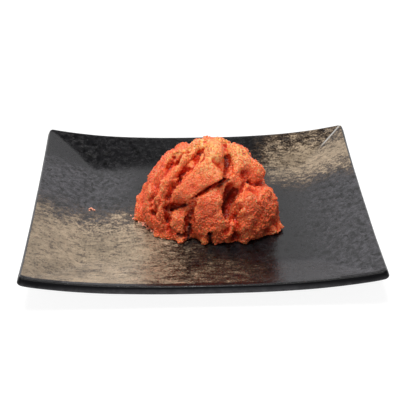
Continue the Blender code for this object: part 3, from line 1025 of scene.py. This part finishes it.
def along_line(places, normals, line):
    """How far each place is from a line of points, on which side, and how far past its ends."""
    best = np.full(len(places), np.inf)
    side = np.zeros(len(places))
    past = np.zeros(len(places))
    for index, (first, last) in enumerate(zip(line[:-1], line[1:])):
        length = np.linalg.norm(last - first)
        way = (last - first) / length
        run = (places - first) @ way
        off = places - first - np.clip(run, 0, length)[:, None] * way
        far = np.linalg.norm(off, axis=1)
        beyond = np.zeros(len(places))
        if index == 0:
            beyond = np.maximum(beyond, -run)
        if index == len(line) - 2:
            beyond = np.maximum(beyond, run - length)
        nearer = far < best
        best[nearer] = far[nearer]
        side[nearer] = np.sign((off * np.cross(way, normals)).sum(axis=1))[nearer]
        past[nearer] = beyond[nearer]
    return best, side, past


def carve_folds(item):
    """Tears the folds' edges and opens the cracks in the heap's skin."""
    noise.seed_set(TEAR_SEED)
    places, over = corners_of(item.data)
    normals = vectors_of(item.data, "normal")
    torn = np.array([
        0.8 * noise.noise_vector(Vector(place) / 2.4) + 0.8 * noise.noise_vector(Vector(place) / 1.1)
        for place in over
    ])
    height = np.zeros(len(over))
    for line, rise, groove in FOLD_EDGES.values():
        far, side, past = along_line(over + torn, normals, np.array(line))
        on_fold = rise * np.clip(1 - far / FOLD_WIDTH, 0, 1) ** 1.3
        drop = np.clip(far / EDGE_WIDTH, 0, 1)
        floor = groove * np.clip(1 - (far - EDGE_WIDTH) / GROOVE_WIDTH, 0, 1) ** 1.3
        off_fold = rise * (1 - drop) - floor * drop
        height += np.where(side < 0, on_fold, off_fold) * np.clip(1 - past / 3, 0, 1) ** 2
    for line, half_width, depth in CRACKS.values():
        far, side, past = along_line(over + 0.6 * torn, normals, np.array(line))
        height -= depth * np.clip(1 - (far / half_width) ** 2, 0, 1)
    move_corners(item.data, places + normals * height[:, None] * MM)


def soften(item, rounds):
    """Evens out the skin's small bumps."""
    axes = {"use_axis_x": True, "use_axis_y": True, "use_axis_z": True}
    with editing(item) as mesh:
        for _ in range(rounds):
            bmesh.ops.smooth_vert(mesh, verts=mesh.verts, factor=0.5, **axes)


def close_crack(item):
    """Narrows the heap's long crack by pressing its two sides together."""
    first, last, inward, half_width, narrowed = CRACK_SQUEEZE
    first, last, inward = (Vector(value) for value in (first, last, inward))
    along = (last - first).normalized()
    inward = (inward - inward.project(along)).normalized()
    down = along.cross(inward)
    if down.z > 0:
        down = -down
    places, over = corners_of(item.data)
    over -= np.array((first + last) / 2)
    below, deep, beside = over @ np.array(down), over @ np.array(inward), over @ np.array(along)
    reach = (last - first).length / 2
    hold = np.clip(1.25 - np.abs(beside) / reach, 0, 0.25) * 4
    hold *= np.clip(1 - (np.abs(deep) - 9) / 6, 0, 1)
    upper_push = narrowed * 0.2 * np.clip(1 - (-below - half_width) / 5, 0, 1)
    lower_push = -narrowed * 0.8 * np.clip(1 - (below - half_width) / 9, 0, 1)
    inside = np.clip(below / half_width, -1, 1) * 0.5 + 0.5
    push = hold * (upper_push * (1 - inside) + lower_push * inside)
    move_corners(item.data, places + push[:, None] * np.array(down) * MM)


def spread_foot(item):
    """Pushes the heap's foot outward at the front left, most of all at the floor."""
    first, last, amount = FOOT_SPREAD
    first, last = np.array(first), np.array(last)
    along = unit(last - first)
    outward = np.array((along[1], -along[0]))
    if outward[0] > 0:
        outward = -outward
    places, over = corners_of(item.data)
    beside = (over[:, :2] - (first + last) / 2) @ along
    out = (over[:, :2] - (first + last) / 2) @ outward
    reach = np.linalg.norm(last - first) / 2
    push = amount * np.clip(1.3 - np.abs(beside) / reach, 0, 0.3) / 0.3
    push *= np.clip(1 - over[:, 2] / 8, 0, 1) * np.clip(1 + out / 8, 0, 1)
    places[:, :2] += push[:, None] * outward * MM
    move_corners(item.data, places)


def mark_gap_shadows(item):
    """Notes how far inside one of the dark gaps each place of the skin lies, as the strength of a
    painted shadow.
    """
    _, over = corners_of(item.data)
    inside = np.zeros(len(over))
    for name, (half_width, darkness) in DARK_GAPS.items():
        line = np.array(CRACKS[name][0])
        middle = (line[0] + line[-1]) / 2
        inward = unit(HEAP_MIDDLE - middle)
        deep = (over - middle) @ inward
        flat = over - np.outer(over @ inward, inward)
        flat_line = line - np.outer(line @ inward, inward)
        far, _, _ = along_line(flat, flat, flat_line)
        near_skin = np.clip(deep + 4, 0, 1) * np.clip(14 - deep, 0, 1)
        dark = darkness * np.clip(1.3 - 1.3 * far / half_width, 0, 1)
        inside = np.maximum(inside, dark * near_skin)
    layer = item.data.attributes.new("gap", "FLOAT", "POINT")
    layer.data.foreach_set("value", inside)


def make_roe_skin(roe):
    """The heap's skin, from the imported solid: folds torn, cracks opened, crags and eggs raised."""
    item = welded_copy("roe_heap", "roe_skin")
    voxel_remesh(item, roe.grain)
    soften(item, 8)
    close_crack(item)
    spread_foot(item)
    carve_folds(item)
    voxel_remesh(item, roe.grain)
    mark_gap_shadows(item)
    run_tree(
        item,
        roe_skin_tree(roe_material(roe)),
        roe,
        Highest=CAD_BOX[1].z - 1.1 * MM,
        Lowest=FLOOR_HEIGHT + 0.05 * MM,
    )
    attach(item, "root")
    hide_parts("roe_heap")


def make_loose_eggs(roe):
    """Two kinds of loose eggs over the heap: moist orange ones and drier pale ones."""
    skin = bpy.data.objects["roe_skin"]
    kinds = (
        ("orange_eggs", roe.flesh, 0.5, roe.seed),
        ("pale_eggs", roe.pale, 0.5, roe.seed + 20),
    )
    for name, color, share, seed in kinds:
        item = new_piece(name, skin.data.copy())
        item.data.materials.clear()
        run_tree(
            item,
            egg_cover_tree(name, egg_material(roe, name, color)),
            roe,
            Eggs_per_Area=roe.eggs_per_area * share,
            Highest=CAD_BOX[1].z - 1.2 * roe.egg_size,
            Lowest=FLOOR_HEIGHT + 0.45 * roe.egg_size,
            Seed=seed,
        )
        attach(item, "root")


def make_crumbs(roe):
    """Small clumps of eggs that have fallen on the plate beside the heap."""
    draw = random.Random(roe.seed)
    mesh = bmesh.new()
    for x, y, width, count in CRUMBS:
        for index in range(count):
            angle = index * 2.4 + draw.uniform(-0.4, 0.4)
            out = width / 2 * math.sqrt(index / count)
            lift = CRUMB_LIFT + (SECOND_LAYER if index % 3 == 0 and count > 3 else 0)
            mesh.verts.new(
                Vector((x + out * math.cos(angle), y + out * math.sin(angle), lift)) * MM
                + Vector((0, 0, FLOOR_HEIGHT))
            )
    item = new_piece("crumbs")
    mesh.to_mesh(item.data)
    mesh.free()
    material = egg_material(roe, "crumbs", PALE_CRUMB, 0.8)
    run_tree(item, egg_place_tree("crumbs", material), roe)
    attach(item, "root")


# Stage


def soft_light(name, place, target, width, height, power, color=(1, 1, 1)):
    """A rectangular light at a place, turned to a target."""
    lamp = bpy.data.lights.new(name, "AREA")
    lamp.shape = "RECTANGLE"
    lamp.size = width
    lamp.size_y = height
    lamp.energy = power
    lamp.color = color
    item = new_object(name, lamp)
    item.location = place
    item.rotation_euler = (Vector(target) - Vector(place)).to_track_quat("-Z", "Y").to_euler()


def make_camera():
    """The photograph's camera."""
    lens = bpy.data.cameras.new("camera")
    lens.lens = CAMERA_LENS
    lens.sensor_width = 36
    lens.clip_start = 0.01
    camera = new_object("camera", lens)
    camera.location = CAMERA_PLACE
    camera.rotation_euler = (math.radians(90 - CAMERA_TILT), 0, math.radians(CAMERA_TURN))
    bpy.context.scene.camera = camera


def surround(stage):
    """The studio round the table: a pale wall low at the back, dark elsewhere, pale to the eye."""
    world = bpy.data.worlds.get("surround") or bpy.data.worlds.new("surround")
    world.use_nodes = True
    tree = world.node_tree
    tree.nodes.clear()
    toward = add_node(tree, "ShaderNodeTexCoord").outputs["Generated"]
    axes = axes_of(tree, toward)
    low = ranged(tree, axes[2], 0.6, 0.25)
    behind = ranged(tree, axes[1], -0.3, 0.5)
    wall = calc(tree, "MULTIPLY_ADD", product(tree, low, behind), stage.wall, stage.sky)
    seen = add_node(tree, "ShaderNodeLightPath").outputs["Is Camera Ray"]
    bright = calc(tree, "MAXIMUM", wall, product(tree, seen, 0.85))
    glow = add_node(tree, "ShaderNodeBackground", {"Color": (0.98, 0.96, 1, 1), "Strength": bright})
    add_node(tree, "ShaderNodeOutputWorld", {"Surface": glow.outputs[0]})
    return world


def make_stage(stage):
    """A pale table, a key light above, a broad one at the back, a fill in front, and the camera."""
    table = new_piece("table")
    with editing(table) as mesh:
        bmesh.ops.create_grid(mesh, x_segments=1, y_segments=1, size=4)
    table.data.materials.append(table_material(stage))
    bpy.context.scene.world = surround(stage)
    soft_light("key light", (-0.1, -0.1, 1.0), (0, 0, 0.02), 0.4, 0.2, stage.key_power, (1, 0.98, 0.95))
    soft_light("back light", (0, 1.0, 0.85), (0, 0, 0), 2.2, 0.5, stage.back_power)
    soft_light("fill light", (-0.4, -0.6, 0.6), (0, 0, 0), 0.6, 0.5, stage.fill_power)
    make_camera()
    bpy.context.scene.view_settings.view_transform = "Standard"


# Operators and panel


class OBJECT_OT_mentaiko_plate(bpy.types.Operator):
    """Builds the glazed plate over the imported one"""

    bl_idname = "object.mentaiko_plate"
    bl_label = "Plate"

    def execute(self, context):
        make_plate(context.scene.mentaiko_plate)
        return {"FINISHED"}


class OBJECT_OT_mentaiko_roe(bpy.types.Operator):
    """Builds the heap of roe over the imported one"""

    bl_idname = "object.mentaiko_roe"
    bl_label = "Heap of roe"

    def execute(self, context):
        make_roe_skin(context.scene.mentaiko_roe)
        return {"FINISHED"}


class OBJECT_OT_mentaiko_eggs(bpy.types.Operator):
    """Strews loose eggs over the heap and crumbs on the plate"""

    bl_idname = "object.mentaiko_eggs"
    bl_label = "Loose eggs and crumbs"

    def execute(self, context):
        make_loose_eggs(context.scene.mentaiko_roe)
        make_crumbs(context.scene.mentaiko_roe)
        return {"FINISHED"}


class OBJECT_OT_mentaiko_stage(bpy.types.Operator):
    """Sets the table, the lights and the camera"""

    bl_idname = "object.mentaiko_stage"
    bl_label = "Stage"

    def execute(self, context):
        make_stage(context.scene.mentaiko_stage)
        return {"FINISHED"}


class VIEW3D_PT_mentaiko(bpy.types.Panel):
    """Lists the pieces, each with its settings"""

    bl_idname = "VIEW3D_PT_mentaiko"
    bl_label = "Mentaiko on its plate"
    bl_space_type = "VIEW_3D"
    bl_region_type = "UI"
    bl_category = "Mentaiko"

    def draw(self, context):
        scene = context.scene
        for settings, operators in (
            (scene.mentaiko_plate, (OBJECT_OT_mentaiko_plate,)),
            (scene.mentaiko_roe, (OBJECT_OT_mentaiko_roe, OBJECT_OT_mentaiko_eggs)),
            (scene.mentaiko_stage, (OBJECT_OT_mentaiko_stage,)),
        ):
            box = self.layout.box()
            for name in settings.__annotations__:
                box.prop(settings, name)
            for operator in operators:
                box.operator(operator.bl_idname)


CLASSES = (
    PlateSettings,
    RoeSettings,
    StageSettings,
    OBJECT_OT_mentaiko_plate,
    OBJECT_OT_mentaiko_roe,
    OBJECT_OT_mentaiko_eggs,
    OBJECT_OT_mentaiko_stage,
    VIEW3D_PT_mentaiko,
)


def register():
    for item in CLASSES:
        bpy.utils.register_class(item)
    bpy.types.Scene.mentaiko_plate = PointerProperty(type=PlateSettings)
    bpy.types.Scene.mentaiko_roe = PointerProperty(type=RoeSettings)
    bpy.types.Scene.mentaiko_stage = PointerProperty(type=StageSettings)


def unregister():
    del bpy.types.Scene.mentaiko_stage
    del bpy.types.Scene.mentaiko_roe
    del bpy.types.Scene.mentaiko_plate
    for item in reversed(CLASSES):
        bpy.utils.unregister_class(item)


def main():
    register()
    bpy.ops.object.mentaiko_plate()
    bpy.ops.object.mentaiko_roe()
    bpy.ops.object.mentaiko_eggs()
    bpy.ops.object.mentaiko_stage()


if __name__ == "__main__":
    main()
